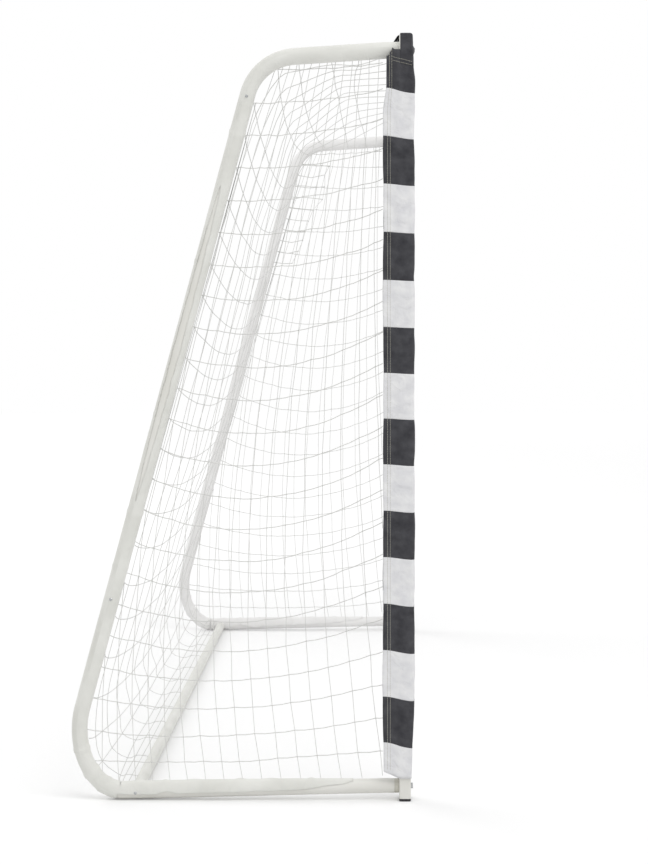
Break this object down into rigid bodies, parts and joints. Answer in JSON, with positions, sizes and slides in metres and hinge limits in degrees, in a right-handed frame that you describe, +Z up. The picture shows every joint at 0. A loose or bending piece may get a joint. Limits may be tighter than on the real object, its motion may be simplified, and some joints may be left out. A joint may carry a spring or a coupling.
{
  "type": "soccer goal",
  "caption": "Free-standing soccer goal with a rectangular front frame in striped sleeves, bent round-tube sides, a rear ground bar and a hung net.",
  "frame": {"origin": "on the floor, at the middle of the goal's width and depth", "axes": "+X along the crossbar, -Y out of the mouth, +Y to the rear, +Z up"},
  "size_m": [3.0002, 0.8917, 2],
  "materials": {
    "powder_coat_white": "satin white powder coat on steel tube",
    "nylon_black": "matt moulded nylon",
    "nylon_grey": "matt moulded nylon",
    "zinc_plate": "zinc plate",
    "polyester_white": "plain woven polyester",
    "polyester_black": "plain woven polyester with white bands",
    "net_twine": "knotted polyester twine"
  },
  "bodies": {
    "root": {"crossbar_joint_left": "powder_coat_white", "crossbar_joint_right": "powder_coat_white", "crossbar_left": "powder_coat_white", "crossbar_middle": "powder_coat_white", "crossbar_right": "powder_coat_white", "crossbar_sleeve": "polyester_black", "ground_bar_hem": "polyester_white", "ground_bar_left": "powder_coat_white", "ground_bar_plug_left": "nylon_grey", "ground_bar_plug_right": "nylon_grey", "ground_bar_right": "powder_coat_white", "ground_bar_screw_left": "zinc_plate", "ground_bar_screw_right": "zinc_plate", "left_bottom_bolt": "zinc_plate", "left_bottom_plug": "nylon_grey", "left_bottom_tube": "powder_coat_white", "left_corner": "powder_coat_white", "left_foot_cap": "nylon_black", "left_hem": "polyester_white", "left_lower_joint_screw": "zinc_plate", "left_post_joint": "powder_coat_white", "left_post_lower": "powder_coat_white", "left_post_sleeve": "polyester_black", "left_post_upper": "powder_coat_white", "left_rear_tube": "powder_coat_white", "left_top_bolt": "zinc_plate", "left_top_plug": "nylon_grey", "left_top_tube": "powder_coat_white", "left_upper_joint_screw": "zinc_plate", "net_back": "net_twine", "net_floor": "net_twine", "net_left": "net_twine", "net_right": "net_twine", "net_top": "net_twine", "right_bottom_bolt": "zinc_plate", "right_bottom_plug": "nylon_grey", "right_bottom_tube": "powder_coat_white", "right_corner": "powder_coat_white", "right_foot_cap": "nylon_black", "right_hem": "polyester_white", "right_lower_joint_screw": "zinc_plate", "right_post_joint": "powder_coat_white", "right_post_lower": "powder_coat_white", "right_post_sleeve": "polyester_black", "right_post_upper": "powder_coat_white", "right_rear_tube": "powder_coat_white", "right_top_bolt": "zinc_plate", "right_top_plug": "nylon_grey", "right_top_tube": "powder_coat_white", "right_upper_joint_screw": "zinc_plate"}
  },
  "joints": []
}
